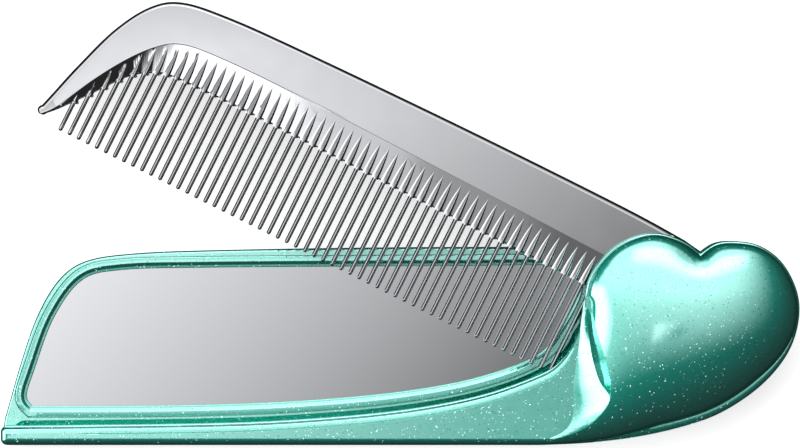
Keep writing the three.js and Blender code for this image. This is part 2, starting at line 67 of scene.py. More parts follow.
HEART_RIGHT = [
    (-25, -18.5), (-16.7, -18.1), (-8.3, -17.1), (-0.2, -15.3), (6.4, -12.9), (12.7, -8.8), (17, -4.3), (19.4, 0.2),
    (20.3, 5.4), (19.4, 9.7), (16.9, 13.9), (13.2, 16.5), (9.4, 17.2), (5.6, 17), (2.9, 15.1),
]
HEART_LEFT = [
    (2.9, 15.1), (0.1, 17.2), (-4.6, 18.7), (-8.7, 18.1), (-12.2, 16.3), (-14.8, 13.7), (-16.8, 10.6), (-17.4, 7.4),
]
COVER_EDGE = [
    (-17.4, 7.4), (-17.7, 4.2), (-19, -0.2), (-21.6, -3.8), (-25.2, -6.1), (-35.7, -9.8), (-49.7, -12.4),
    (-67.3, -14), (-84.8, -14.7), (FAR_X + BAR_CORNER, BAR_TOP),
]
WINDOW_EDGE = [
    (FAR_X + 5, BAR_TOP + 2.7), (FAR_X + 17.2, BAR_TOP + 2.7), (-84.8, -12.2), (-67.3, -11.5), (-49.7, -9.9),
    (-35.7, -7.3), (-25.2, -3.2), (-20.6, 2.3), (-17.9, 7.4), (-17.7, 10.2), (-20.5, TOP - 2.8), (-40, TOP - 2.7),
    (-60, TOP - 2.8), (FAR_X + 34.8, TOP - 3), (FAR_X + 21, TOP - 3.4), (FAR_X + 13.7, TOP - 5.2),
    (FAR_X + 8.5, TOP - 12), (FAR_X + 5, TOP - 21.3), (FAR_X + 3.5, TOP - 26.4),
]
# The spine's edge, which the tray's outline follows too: from the far end, and up from a line near the tooth tips
RAIL_Y = -15.4
SPINE_EDGE = [
    (0.3, 1.2), (1.3, 4.7), (3.1, 11), (6, 19.4), (9.8, 25.8), (14.5, 29.1), (22.9, 30.4), (37.6, 31),
    (69.6, 31.5), (99.6, 31.5), (112, 31.05),
]


def through(points, steps):
    """A Catmull-Rom curve through the points, with equally many steps between each pair."""
    given = np.array(points, float)
    padded = np.vstack([given[:1], given, given[-1:]])
    made = []
    for a, b, c, d in zip(padded, padded[1:], padded[2:], padded[3:]):
        start, end = (c - a) / 2, (d - b) / 2
        for t in np.arange(steps) / steps:
            made.append((2 * b - 2 * c + start + end) * t**3 + (3 * c - 3 * b - 2 * start - end) * t**2 + start * t + b)
    return np.array(made + [given[-1]])


def spline(points, spacing=0.5, relax=10):
    """A smooth curve through the points, evenly spaced, with the small waves of the drawn points relaxed."""
    fine = through(points, 24)
    run = np.concatenate([[0], np.cumsum(np.linalg.norm(np.diff(fine, axis=0), axis=1))])
    even = np.linspace(0, run[-1], max(2, round(run[-1] / spacing) + 1))
    made = np.stack([np.interp(even, run, fine[:, axis]) for axis in (0, 1)], axis=1)
    for _ in range(relax):
        made[1:-1] = made[1:-1] / 2 + (made[:-2] + made[2:]) / 4
    return made


def arc(x, y, radius, start, turn, steps=8):
    angles = np.radians(start + turn * np.arange(steps + 1) / steps)
    return np.stack([x + radius * np.cos(angles), y + radius * np.sin(angles)], axis=1)


def outline(*runs):
    """One closed outline from runs of points, without repeated points."""
    points = np.concatenate(runs)
    return points[np.linalg.norm(points - np.roll(points, 1, axis=0), axis=1) > 0.01]


def unit(vectors):
    return vectors / np.linalg.norm(vectors, axis=1)[:, None]


def offset(points, distance):
    """Moves a closed anticlockwise outline outwards, or inwards where the distance is negative."""
    before = unit(points - np.roll(points, 1, axis=0))
    along = unit(before + unit(np.roll(points, -1, axis=0) - points))
    out = np.stack([along[:, 1], -along[:, 0]], axis=1)
    return points + out * (np.asarray(distance) / (along * before).sum(1))[:, None]


def distance_to(closed, points):
    start, side = closed, np.roll(closed, -1, axis=0) - closed
    away = points[:, None] - start[None]
    share = np.clip((away * side).sum(2) / (side * side).sum(1), 0, 1)
    return np.linalg.norm(away - share[..., None] * side, axis=2).min(1)


def inset(closed, distance):
    """An outline moved inwards, without the loops that corners and narrow ends would leave."""
    moved = offset(closed, -distance)
    return moved[distance_to(closed, moved) > distance * 0.98]


def shell_mesh(points, faces):
    mesh = bpy.data.meshes.new("solid")
    mesh.from_pydata([tuple(point) for point in np.asarray(points) * MM], [], faces)
    return mesh


def ring_faces(count, rings, first=0, capped=True):
    """The faces that join rings of equally many points, and close both ends."""
    faces = []
    for r in range(rings - 1):
        for i in range(count):
            a, b = first + r * count + i, first + r * count + (i + 1) % count
            faces.append((a, b, b + count, a + count))
    if capped:
        faces.append(tuple(range(first + count - 1, first - 1, -1)))
        last = first + (rings - 1) * count
        faces.append(tuple(range(last, last + count)))
    return faces


def lofts(solids):
    """One mesh from several lofts, each a list of rings, with equally many points in every ring."""
    faces, rings = [], []
    for solid in solids:
        count = len(solid[0])
        faces += ring_faces(count, len(solid), first=len(rings) * count)
        rings += solid
    return shell_mesh(np.concatenate(rings), faces)


def loft(rings):
    return lofts([rings])


def raised(points, z):
    return np.column_stack([points, np.broadcast_to(z, len(points))])


def stepped(closed, levels):
    """A plate whose outline steps in by a given amount at each level."""
    return loft([raised(offset(closed, -step), z) for z, step in levels])


def plate(closed, low, high):
    return stepped(closed, [(low, 0), (high, 0)])


def block(low_x, high_x, low_y, high_y, low, high):
    corners = [(low_x, low_y), (high_x, low_y), (high_x, high_y), (low_x, high_y)]
    return plate(np.array(corners, float), low, high)


def circle(x, y, radius, sides):
    return arc(x, y, radius, 0, 360, sides)[:-1]


def disc(x, y, radius, low, high):
    return plate(circle(x, y, radius, 64), low, high)


def rounded(low, high, low_round, high_round, steps=5):
    """Levels of a plate with a quarter round at its lower and its upper edge."""
    turns = [math.pi / 2 * i / steps for i in range(steps + 1)]
    lower = [(low + low_round * (1 - math.sin(a)), low_round * (1 - math.cos(a))) for a in reversed(turns)]
    upper = [(high - high_round * (1 - math.sin(a)), high_round * (1 - math.cos(a))) for a in turns]
    return lower + upper


def new_object(name, data):
    made = bpy.data.objects.new(name, data)
    bpy.context.scene.collection.objects.link(made)
    return made


def combine(mesh, *steps):
    """Joins solids to a first one, or cuts them from it, one after the other."""
    whole = new_object("whole", mesh)
    tools = []
    for operation, tool in steps:
        helper = new_object("helper", tool)
        modifier = whole.modifiers.new("step", "BOOLEAN")
        modifier.operation, modifier.object, modifier.solver = operation, helper, "MANIFOLD"
        tools.append(helper)
    made = bpy.data.meshes.new_from_object(whole.evaluated_get(bpy.context.evaluated_depsgraph_get()))
    for used in [whole, *tools]:
        bpy.data.objects.remove(used)
    return made


JOIN, CUT, KEEP = "UNION", "DIFFERENCE", "INTERSECT"


def piece(name, mesh, material, crease=35):
    """A shown object from a mesh, smooth but for edges sharper than the crease angle."""
    mesh.materials.clear()
    mesh.materials.append(material)
    mesh.shade_smooth()
    mesh.set_sharp_from_angle(angle=math.radians(crease))
    made = new_object(name, mesh)
    normals = made.modifiers.new("flat faces stay flat", "WEIGHTED_NORMAL")
    normals.keep_sharp = True
    return made


def linear(colour):
    """An sRGB hex colour as linear red, green, blue and alpha."""
    shares = [int(colour[i:i + 2], 16) / 255 for i in (1, 3, 5)]
    return [s / 12.92 if s < 0.04045 else ((s + 0.055) / 1.055) ** 2.4 for s in shares] + [1]


def add(tree, kind, inputs=(), **settings):
    """Adds a node with its settings. An input is a value or another node's output."""
    made = tree.nodes.new(kind)
    for name, value in settings.items():
        setattr(made, name, value)
    for socket, value in dict(inputs).items():
        if isinstance(value, bpy.types.NodeSocket):
            tree.links.new(value, made.inputs[socket])
        else:
            made.inputs[socket].default_value = value
    return made


def new_finish(name):
    material = bpy.data.materials.new(name)
    material.use_nodes = True
    material.node_tree.nodes.clear()
    return material, material.node_tree


def closed_finish(material, shader):
    add(material.node_tree, "ShaderNodeOutputMaterial", {"Surface": shader.outputs[0]})
    return material


def clouds(tree, size, detail):
    """A cloudy pattern on the object, its clouds about as large as the size, as shares from 0 to 1."""
    place = add(tree, "ShaderNodeTexCoord").outputs["Object"]
    return add(tree, "ShaderNodeTexNoise", {"Vector": place, "Scale": 1 / size, "Detail": detail}).outputs["Fac"]


def between(tree, share, low, high):
    return add(tree, "ShaderNodeMapRange", {"Value": share, "To Min": low, "To Max": high}).outputs["Result"]


def candy_lacquer():
    """Translucent teal lacquer over a silvered moulding. The silver gives bright reflections tinted pale aqua, light
    that wanders in the lacquer a deep teal, its skin (IOR 1.5) sharp white glints. Metal flakes of about 0.1 mm,
    drawn as 0.18 mm, lie at odd angles in it and sparkle."""
    material, tree = new_finish("teal candy lacquer")
    flake = 0.18 * MM
    place = add(tree, "ShaderNodeTexCoord").outputs["Object"]
    cells = add(tree, "ShaderNodeTexVoronoi", {"Vector": place, "Scale": 1 / flake})
    share = add(tree, "ShaderNodeSeparateColor", {"Color": cells.outputs["Color"]})
    sparkle = add(tree, "ShaderNodeMapRange", {"Value": share.outputs["Red"], "From Min": 0.945, "From Max": 0.965,
                                               "To Max": 0.5})
    lean = add(tree, "ShaderNodeVectorMath", {0: cells.outputs["Color"], 1: (0.5, 0.45, 0.5)}, operation="SUBTRACT")
    skin = add(tree, "ShaderNodeNewGeometry").outputs["Normal"]
    tilt = add(tree, "ShaderNodeVectorMath", {0: lean.outputs[0], 1: (0.0, 1.1, 1.1), 2: skin},
               operation="MULTIPLY_ADD")
    facing = add(tree, "ShaderNodeVectorMath", {0: tilt.outputs[0]}, operation="NORMALIZE")
    blur = between(tree, clouds(tree, 2.5 * MM, 2), 0.08, 0.12)
    pigment = add(tree, "ShaderNodeBsdfPrincipled", {
        "Base Color": linear("#00ffe4"), "Metallic": 1.0, "Roughness": 0.5})
    silver = add(tree, "ShaderNodeBsdfPrincipled", {
        "Base Color": linear("#d2fff9"), "Metallic": 1.0, "Roughness": blur,
        "Coat Weight": 1.0, "Coat Roughness": 0.03, "Coat IOR": 1.5})
    flakes = add(tree, "ShaderNodeBsdfPrincipled", {
        "Base Color": linear("#d8fff8"), "Metallic": 1.0, "Roughness": 0.15, "Normal": facing.outputs[0]})
    lacquer = add(tree, "ShaderNodeMixShader", {0: 0.58, 1: pigment.outputs["BSDF"], 2: silver.outputs["BSDF"]})
    whole = add(tree, "ShaderNodeMixShader", {0: sparkle.outputs["Result"], 1: lacquer.outputs[0],
                                              2: flakes.outputs["BSDF"]})
    return closed_finish(material, whole)


teal_lacquer = candy_lacquer()

heart_curve = outline(spline(HEART_RIGHT), spline(HEART_LEFT))
heart_x, heart_y = heart_curve.T
lower_corner = arc(FAR_X + BAR_CORNER, -BASE + BAR_CORNER, BAR_CORNER, 180, 90)
upper_corner = arc(FAR_X + BAR_CORNER, BAR_TOP - BAR_CORNER, BAR_CORNER, 90, 90)
base_places = np.arange(FAR_X + 3, HEART_RIGHT[0][0] - 0.4, 1.0)
base_line = np.column_stack([base_places, np.full(len(base_places), -BASE)])
cover_outline = outline(heart_curve, spline(COVER_EDGE), upper_corner, lower_corner, base_line)
heart_part = heart_curve[(heart_y < 0) | (heart_x > 0) | (heart_y > TOP)]
spine_curve = spline([(FAR_X + x, RAIL_Y + y) for x, y in SPINE_EDGE] + [(-3.5, TOP - 1)])
tray_part = spine_curve[spine_curve[:, 0] < heart_part[-1, 0]][::-1]
case_outline = outline(heart_part, tray_part, lower_corner, base_line)
window_outline = outline(spline(WINDOW_EDGE + WINDOW_EDGE[:1], relax=4))


def joining_wall(low, high):
    """The wall along the lower edge that joins the two shells, clear of the comb at every angle."""
    under, over = low - BEYOND, high + BEYOND
    return combine(
        plate(cover_outline, low, high),
        (CUT, plate(inset(cover_outline, BAR_WALL), under, over)),
        (CUT, block(FAR_X + BAR_END, -TEETH_END, BAR_WALL - BASE, REACH, under, over)),
        (CUT, block(-2 * REACH, 2 * REACH, -BASE / 2, REACH, under, over)),
        (CUT, block(WALL_END, REACH, -REACH, REACH, under, over)))


def shell_bosses(low, high):
    """Bosses for the two screws beside the hinge. The first screw stands in the wall's solid far end."""
    return [(JOIN, disc(x, y, SCREW_BOSS, low, high)) for x, y, *_ in SCREW_PLACES[1:]]


def screw_holes():
    holes = []
    for x, y, radius, head, length in SCREW_PLACES:
        holes.append((CUT, disc(x, y, radius + FIT, 0, RECESS_Z + length + FIT)))
        holes.append((CUT, disc(x, y, head + FIT, 0, RECESS_Z + SCREW_HEAD + FIT)))
    return holes


over_rim = SPLIT_Z + BEYOND
# The channel beside the cover's edge slopes down under the cover, and runs out to a point at its far end
channel_reach = np.array([
    (FAR_X + BAR_END, -BASE), (-TEETH_END, -BASE), (-TEETH_END, TOP), (FAR_X + BAR_END, TOP),
    (FAR_X + BAR_END, BAR_TOP + CHANNEL + 0.2), (FAR_X + 2.1, BAR_TOP - 0.1), (FAR_X + BAR_END, BAR_TOP - 0.1)])
channel_wall = [(FLOOR_Z, 1.25), (2.86, 1.2), (RIM_Z - 0.3, 0), (over_rim, 0)]  # heights, and steps in
tooth_channel = combine(
    stepped(offset(cover_outline, CHANNEL), channel_wall),
    (KEEP, plate(channel_reach, FLOOR_Z - BEYOND, over_rim + BEYOND)))
hollow = combine(
    plate(inset(cover_outline, HEART_RIM), FLOOR_Z, over_rim),
    (JOIN, tooth_channel),
    (CUT, plate(offset(window_outline, FRAME_WIDTH + RIB), 0, over_rim + BEYOND)),
    (CUT, joining_wall(0, over_rim + BEYOND)))
back_shell_mesh = combine(
    stepped(case_outline, rounded(SHELL_LOW_Z, RIM_Z, SHELL_ROUND, SHELL_ROUND)),
    (CUT, plate(offset(window_outline, FRAME_WIDTH + FIT), FLOOR_Z, over_rim)),
    (CUT, hollow),
    (JOIN, joining_wall(FLOOR_Z, SPLIT_Z)),
    (JOIN, disc(0, 0, HINGE_BOSS, FLOOR_Z - SINK, HINGE_BOSS_Z)),
    *shell_bosses(FLOOR_Z - SINK, SPLIT_Z),
    (CUT, plate(inset(case_outline, PANEL_RIM), 0, RECESS_Z)),
    (CUT, disc(0, 0, PIVOT_HOLE, 0, SPLIT_Z)),
    (CUT, disc(0, 0, PIVOT_HEAD, 0, RECESS_Z + PIVOT_HEAD_DEPTH)),
    *screw_holes())
back_shell = piece("lacquered_back_shell", back_shell_mesh, teal_lacquer)
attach(back_shell, "case")
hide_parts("back_shell")

# Mirror tape
# Double-sided acrylic foam tape, die-cut a little smaller than the glass and stuck to the tray's floor.


def tinted(tree, share, colour, other):
    """A colour that follows a pattern from the first to the other."""
    return add(tree, "ShaderNodeMix", {"Factor": share, 6: linear(colour), 7: linear(other)},
               data_type="RGBA").outputs[2]


def foam_tape():
    """White acrylic foam, extruded: dull and even, with the fine cells of its cut edge drawn at 0.3 mm."""
    material, tree = new_finish("acrylic foam tape")
    place = add(tree, "ShaderNodeTexCoord").outputs["Object"]
    cells = add(tree, "ShaderNodeTexVoronoi", {"Vector": place, "Scale": 1 / (0.3 * MM)}).outputs["Distance"]
    bump = add(tree, "ShaderNodeBump", {"Height": cells, "Strength": 0.3, "Distance": 0.05 * MM})
    return closed_finish(material, add(tree, "ShaderNodeBsdfPrincipled", {
        "Base Color": tinted(tree, cells, "#ecebe5", "#d6d4cb"), "Roughness": 0.9, "Normal": bump.outputs["Normal"]}))


def keep_node(name, material):
    """Shows a CAD node as it is, with a material of its own."""
    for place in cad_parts[name].material_slots:
        place.material = material


foam = foam_tape()
keep_node("mirror_tape", foam)

# Mirror
# A plate of 1.2 mm float glass, silvered, with its edge ground to a narrow bevel.
# It lies on foam tape in the tray, and the frame's lip holds it all round.

GLASS_Z, GLASS, GLASS_BEVEL = 2.3, 1.2, 0.15  # height of its back, thickness, width and depth of the bevel


def silvered_glass():
    """Silver behind float glass: a neutral reflection with almost no blur, a little darker than the light itself."""
    material, tree = new_finish("silvered float glass")
    blur = between(tree, clouds(tree, 18 * MM, 3), 0.004, 0.02)
    return closed_finish(material, add(tree, "ShaderNodeBsdfPrincipled", {
        "Base Color": linear("#c6c7ca"), "Metallic": 1.0, "Roughness": blur}))


mirror = piece("silvered_mirror", stepped(window_outline, [
    (GLASS_Z, 0), (GLASS_Z + GLASS - GLASS_BEVEL, 0), (GLASS_Z + GLASS, GLASS_BEVEL)]), silvered_glass())
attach(mirror, "case")
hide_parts("mirror_glass")

# Mirror frame
# A lacquered ABS ring pressed into the tray. Its low inner lip holds the glass, and a fine joint shows round it.

LIP_SECTION = [
    (-0.6, 3.52), (-0.6, 3.6), (-0.57, 3.66), (-0.5, 3.7), (-0.46, 3.705), (-0.16, 3.705), (-0.12, 3.71), (-0.08, 3.73),
    (0.32, 3.97), (0.37, 3.99), (0.43, 4.0), (0.48, 4.0), (1.2, 4.0), (1.25, 3.995), (1.33, 3.95), (1.38, 3.87),
    (1.4, 3.75), (1.4, 2.1), (0.1, 2.1), (0.1, 3.52),
]  # out from the frame's inner line, and height


def bead_round(closed, section):
    """A closed ring with the given section all round an outline."""
    count, last = len(closed), (len(section) - 1) * len(closed)
    faces = ring_faces(count, len(section), capped=False)
    faces += [(last + i, last + (i + 1) % count, (i + 1) % count, i) for i in range(count)]
    rings = [raised(offset(closed, out), z) for out, z in section]
    return shell_mesh(np.concatenate(rings), [face[::-1] for face in faces])


mirror_frame = piece("lacquered_frame", bead_round(window_outline, LIP_SECTION), teal_lacquer, crease=40)
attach(mirror_frame, "case")
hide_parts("mirror_frame")

# Hinge
# A turned steel sleeve on the back shell's boss, clamped by a screw from the back. Two nylon washers and a sprung
# steel washer beside the comb's hub give the friction that holds it part open. The heart hides all of them.


WAVE_PERIOD = 0.314  # between two rings of the wave texture at a scale of 1


def worked_metal(name, colour, other, low, high, spacing):
    """Steel or brass, turned: its fine rings, drawn at the given spacing, streak and blur what it reflects."""
    material, tree = new_finish(name)
    place = add(tree, "ShaderNodeTexCoord").outputs["Object"]
    rings = add(tree, "ShaderNodeTexWave", {"Vector": place, "Scale": WAVE_PERIOD / spacing, "Distortion": 0.4},
                wave_type="RINGS", rings_direction="Z")
    bump = add(tree, "ShaderNodeBump", {"Height": rings.outputs["Fac"], "Strength": 0.15, "Distance": 0.01 * MM})
    cloud = clouds(tree, 1.5 * MM, 3)
    return closed_finish(material, add(tree, "ShaderNodeBsdfPrincipled", {
        "Base Color": tinted(tree, cloud, colour, other), "Metallic": 1.0,
        "Roughness": between(tree, cloud, low, high), "Normal": bump.outputs["Normal"]}))


def plain_plastic(name, colour, other, roughness):
    """A moulded bearing plastic in its own colour: satin, a little cloudy and waxy. IOR 1.53."""
    material, tree = new_finish(name)
    cloud = clouds(tree, 1.2 * MM, 4)
    bump = add(tree, "ShaderNodeBump", {"Height": cloud, "Strength": 0.1, "Distance": 0.02 * MM})
    return closed_finish(material, add(tree, "ShaderNodeBsdfPrincipled", {
        "Base Color": tinted(tree, cloud, colour, other), "Roughness": roughness, "IOR": 1.53,
        "Normal": bump.outputs["Normal"]}))


turned_steel = worked_metal("turned steel", "#c4c7ca", "#aeb1b5", 0.22, 0.32, 0.12 * MM)
zinc_plate = worked_metal("bright zinc plate", "#c9ccd0", "#b9b9ae", 0.28, 0.4, 0.2 * MM)
nylon = plain_plastic("natural nylon", "#efece2", "#e2ddcf", 0.45)
keep_node("pivot_sleeve", turned_steel)
keep_node("pivot_screw", zinc_plate)
keep_node("wave_washer", worked_metal("spring steel", "#b7babd", "#9a9ea3", 0.25, 0.35, 0.3 * MM))
keep_node("back_washer", nylon)
keep_node("front_washer", nylon)

# Comb
# Spine, bevelled web and 55 teeth in one moulding, plated bright like chrome. The teeth are oval rods that run
# up the bevel as pointed ridges. The hub end turns on the sleeve between the shells.

# The edge of the spine's flat face and the foot of the bevel, measured like the spine's edge
FLAT_EDGE = [
    (1.1, 0.6), (3.2, 3.3), (6.7, 10), (10.2, 15.6), (13.7, 19.8), (17.3, 22.3), (23.3, 23.3), (37.6, 23.6),
    (69.6, 23.1), (99.6, 22.5), (112, 22.5),
]
WEB_EDGE = [
    (1.8, 1.1), (3.6, 3), (7.4, 7.7), (11.7, 13.1), (15, 15.5), (18.4, 16.6), (24.3, 16.9), (37.6, 17),
    (69.6, 16.6), (99.6, 16.4), (112, 16.4),
]
MIDDLE_Z = 6.1
HALF_SPINE, HALF_WEB = 1.7, 0.85  # half thicknesses
SPINE_ROUND, SPINE_DROP = 0.9, 0.9  # the spine's rounded edge: its width and its depth
WEB_ROUND = 0.3
# Across the bead along the top of the bevel: place over the edge of the flat face, and share of its height
BEAD, BEAD_SECTION = 0.06, [(-0.34, 0), (-0.31, 0.1), (-0.1, 1), (-0.05, 1), (0, 0.2)]
OPEN_ANGLE = 26.45
TEETH, FIRST_TOOTH, PITCH = 55, 5.3, 1.774
TIP_Y = -16.0
TOOTH_HALF = 0.38
TOOTH_FLARE = 0.35  # length of the arches between the teeth
FOOT_HALF = 0.75  # half depth of the arches, where they run into the web
FOOT_WIDTH = PITCH / 2 - 0.02  # half a tooth's width there, so that two teeth just don't meet
TOOTH_POWER, FOOT_POWER = 2.4, 2.2
RIDGE = 0.2
RIDGE_START = 0.2  # the ridges start this far below the web's edge
SPEAR_HALF = 0.68
SPEAR_GAP = 0.9  # the ridges end this far short of the flat face
HEEL_END, HEEL_TOP, HEEL_CORNER = -3.5, 15.2, 1.1  # the heel at the spine's near end
HEEL_OVERLAP = 3
GUARD_X, GUARD_Y, GUARD_RADIUS, GUARD_ROUND = 1.0, 1.35, 0.85, 0.8  # the round tip beyond the last tooth
HUB_RADIUS, HUB_ROUND = 10.2, 0.4
BORE = 3.66
BORE_FROM, BORE_TO = 4, 9


def bright_plating():
    """Chrome-like plating on a moulding: sharp mirror reflections, a touch softer and darker than the glass."""
    material, tree = new_finish("bright plating")
    blur = between(tree, clouds(tree, 6 * MM, 3), 0.05, 0.11)
    return closed_finish(material, add(tree, "ShaderNodeBsdfPrincipled", {
        "Base Color": linear("#cacbce"), "Metallic": 1.0, "Roughness": blur}))


def comb_rail(edge):
    return through([(FAR_X + x, RAIL_Y + y) for x, y in edge], 12)


spine_rail, flat_rail, web_rail = comb_rail(SPINE_EDGE), comb_rail(FLAT_EDGE), comb_rail(WEB_EDGE)


def spine_edge(share):
    """How far in from the spine's edge, and how far below its flat face, its rounding runs."""
    turns = np.radians(np.linspace(0, 90, 10))
    return [(share * SPINE_ROUND * (1 - math.cos(t)), SPINE_DROP * (1 - math.sin(t))) for t in turns]


def body_section(spine, flat, web):
    """Half of the comb body's section, from the spine's edge to the web's edge: places and half thicknesses. The flat
    face ends in a fine raised bead, which catches the light along the top of the bevel and runs out at the near part
    of the comb."""
    across, down = flat - spine, web - flat
    wide, deep = np.linalg.norm(across), np.linalg.norm(down)  # both shrink at the far end, and all with them
    across, down = across / wide, down / deep
    half = [(spine + across * along, HALF_SPINE - drop) for along, drop in spine_edge(min(1, 0.6 * wide / SPINE_ROUND))]
    slope = (HALF_SPINE - HALF_WEB) / deep
    narrow = min(1, 0.8 * wide, 0.8 * deep)
    bead = narrow * np.interp(flat[0] - FAR_X, [25, 50], [BEAD, 0])
    for along, rise in BEAD_SECTION:
        half.append((flat + across * along * narrow, HALF_SPINE + rise * bead))
    half.append((flat + down * 0.08 * narrow, HALF_SPINE - slope * 0.08 * narrow))
    web_round = min(WEB_ROUND, 0.4 * deep)
    edge_half = HALF_WEB + slope * web_round
    for turn in np.radians(np.linspace(90, 0, 6)):
        half.append((web - down * web_round * (1 - math.cos(turn)), edge_half - web_round * (1 - math.sin(turn))))
    return half


def comb_body():
    rings = []
    for edges in zip(spine_rail, flat_rail, web_rail):
        half = body_section(*edges)
        front = [(*place, MIDDLE_Z + z) for place, z in half]
        back = [(*place, MIDDLE_Z - z) for place, z in half]
        rings.append(np.array(front + back[::-1]))
    return loft(rings)


def rail_height(rail, x):
    return np.interp(x, rail[:, 0], rail[:, 1])


def oval(x, y, half_width, half_depth, power, sides=20):
    """A closed section across a tooth: an oval, or with a higher power a rounded box."""
    angles = -2 * math.pi * np.arange(sides) / sides
    along, out = np.cos(angles), np.sin(angles)
    return np.column_stack([
        x + half_width * np.sign(along) * np.abs(along) ** (2 / power),
        np.full(sides, y),
        MIDDLE_Z + half_depth * np.sign(out) * np.abs(out) ** (2 / power)])


def tooth_places():
    return [FAR_X + FIRST_TOOTH + tooth * PITCH for tooth in range(TEETH)]


def teeth():
    """Each tooth from its rounded tip along the rod, which deepens a little, and through the arches to the web."""
    solids = []
    for x in tooth_places():
        web = rail_height(web_rail, x)
        rings = []
        for share in (0.12, 0.3, 0.5, 0.7, 0.87, 1.0):
            width = math.sin(share * math.pi / 2)
            y = TIP_Y + TOOTH_HALF * (1 - math.cos(share * math.pi / 2))
            rings.append(oval(x, y, TOOTH_HALF * width, HALF_WEB * width, TOOTH_POWER))
        for share in (0.25, 0.5, 0.75, 1.0):
            y = TIP_Y + TOOTH_HALF + (web - TOOTH_FLARE - TIP_Y - TOOTH_HALF) * share
            rings.append(oval(x, y, TOOTH_HALF, HALF_WEB + RIDGE * share, TOOTH_POWER))
        for turn in np.radians((25, 45, 60, 75, 90)):
            y = web - TOOTH_FLARE * (1 - math.sin(turn))
            flare = (FOOT_WIDTH - TOOTH_HALF) * (1 - math.cos(turn))
            depth = FOOT_HALF + (HALF_WEB + RIDGE - FOOT_HALF) * math.cos(turn)
            rings.append(oval(x, y, TOOTH_HALF + flare, depth, FOOT_POWER))
        rings.append(oval(x, web + WEB_ROUND, FOOT_WIDTH, FOOT_HALF, FOOT_POWER))
        solids.append(rings)
    return lofts(solids)


# Across a ridge: place from its left foot to its right foot, and share of its height
RIDGE_SECTION = [(-1, -0.3), (-0.88, 0), (-0.3, 0.5), (0.15, 0.9), (0.35, 1), (0.5, 0.92), (0.7, 0.6), (0.88, 0.15),
                 (1, -0.3)]


def ridges():
    """Each ridge goes on up the bevel from its tooth. It gets lower, and narrower like the point of a spear."""
    solids = []
    for x in tooth_places():
        web, flat = rail_height(web_rail, x), rail_height(flat_rail, x)
        rings = []
        for share in (0, 0.15, 0.3, 0.45, 0.6, 0.72, 0.83, 0.92, 1.0):
            y = web - RIDGE_START + (flat - SPEAR_GAP - web + RIDGE_START) * share
            surface = HALF_WEB + (HALF_SPINE - HALF_WEB) * max(0, y - web) / (flat - web)
            width = SPEAR_HALF * (1 - share**1.8) ** 0.85 + 0.02
            height = RIDGE * (1 - share) ** 0.6 + 0.01
            front = [(x + width * place, y, MIDDLE_Z + surface + height * rise) for place, rise in RIDGE_SECTION]
            back = [(x + width * place, y, MIDDLE_Z - surface - height * rise) for place, rise in RIDGE_SECTION]
            rings.append(np.array(front[::-1] + back)[::-1])
        solids.append(rings)
    return lofts(solids)


def comb_mesh():
    low, high = MIDDLE_Z - HALF_SPINE, MIDDLE_Z + HALF_SPINE
    joined = web_rail[-1, 0] - HEEL_OVERLAP
    heel_foot = web_rail[-1, 1] + 0.5
    heel = outline(
        [(joined, heel_foot), (HEEL_END, heel_foot)],
        arc(HEEL_END - HEEL_CORNER, HEEL_TOP - HEEL_CORNER, HEEL_CORNER, 0, 90, 10),
        spine_rail[spine_rail[:, 0] > joined][::-1])
    front = [(high - drop, along) for along, drop in spine_edge(0.9)]
    back = [(2 * MIDDLE_Z - z, along) for z, along in reversed(front)]
    hub = stepped(circle(0, 0, HUB_RADIUS, 128), rounded(low, high, HUB_ROUND, HUB_ROUND))
    guard_tip = stepped(circle(FAR_X + GUARD_X, RAIL_Y + GUARD_Y, GUARD_RADIUS, 32),
                        rounded(low, high, GUARD_ROUND, GUARD_ROUND, 8))
    made = combine(
        comb_body(),
        (JOIN, stepped(heel, back + front)),
        (JOIN, hub),
        (JOIN, guard_tip),
        (JOIN, teeth()),
        (JOIN, ridges()),
        (CUT, disc(0, 0, BORE, BORE_FROM, BORE_TO)))
    made.transform(Matrix.Rotation(math.radians(-OPEN_ANGLE), 4, "Z"))
    return made


comb = piece("plated_comb", comb_mesh(), bright_plating(), crease=40)
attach(comb, "comb")
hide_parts("comb")

# Comb bush
# A plain bearing ring of self-lubricating acetal, pressed into the comb's hub.

keep_node("comb_bush", plain_plastic("grey acetal", "#77797c", "#6c6e71", 0.5))

# Front cover
# One lacquered ABS moulding: the bar along the lower edge, the tail with a cut line beside its edge, the crest and
# the heart, which is puffed up like a cushion. It is hollow under the heart and screwed on from the back.

TAIL_Z, DOME_Z = 10.2, 14.0
DOME_BASE = 9.5
HEART_EDGE, HEART_EDGE_Z = 0.5, 9.0  # the rounded edge round the heart: its radius, and where it starts
LEDGE, LEDGE_Z = 1.25, 9.5  # from the heart's outline in to the dome's foot, at the lower right
LEDGE_RISE = 0.04  # the ledge slopes up this much to the dome
# The crest: the foot of its slope on the tail, its edge, and the far side of the groove beside it, from the top down
CREST_FOOT = [(-17.0, 8.6), (-17.7, 5.6), (-18.3, 1), (-19.0, -3.8), (-19.6, -7.8), (-19.6, -10.6), (-19.6, -12.4),
              (-19.9, -14.1), (-20.7, -15.5), (-22.2, -16.6), (-24, -17.3)]
CREST = [(-16.75, 8.7), (-17.2, 5.8), (-16.8, 1.5), (-16.2, -2.8), (-14.9, -7.2), (-13.15, -9.9), (-13.75, -11.7),
         (-15.2, -13.5), (-17.1, -15.1), (-20, -16.5), (-23, -17.4)]
GROOVE_SIDE = [(-16.5, 8.8), (-16.3, 6.1), (-15.4, 1.7), (-14.1, -2.6), (-12.95, -7.2), (-13.0, -9.9), (-13.6, -11.75),
               (-15.1, -13.6), (-17.0, -15.2), (-19.95, -16.6), (-22.95, -17.5)]
CREST_SLOPE, CREST_STEEPER = 0.36, 0.3  # its rise per width, and what is added beside the lobe
CREST_BOW = 1.4  # the slope gets steeper towards the edge
CREST_SINK = 0.03  # how far its foot lies under the tail
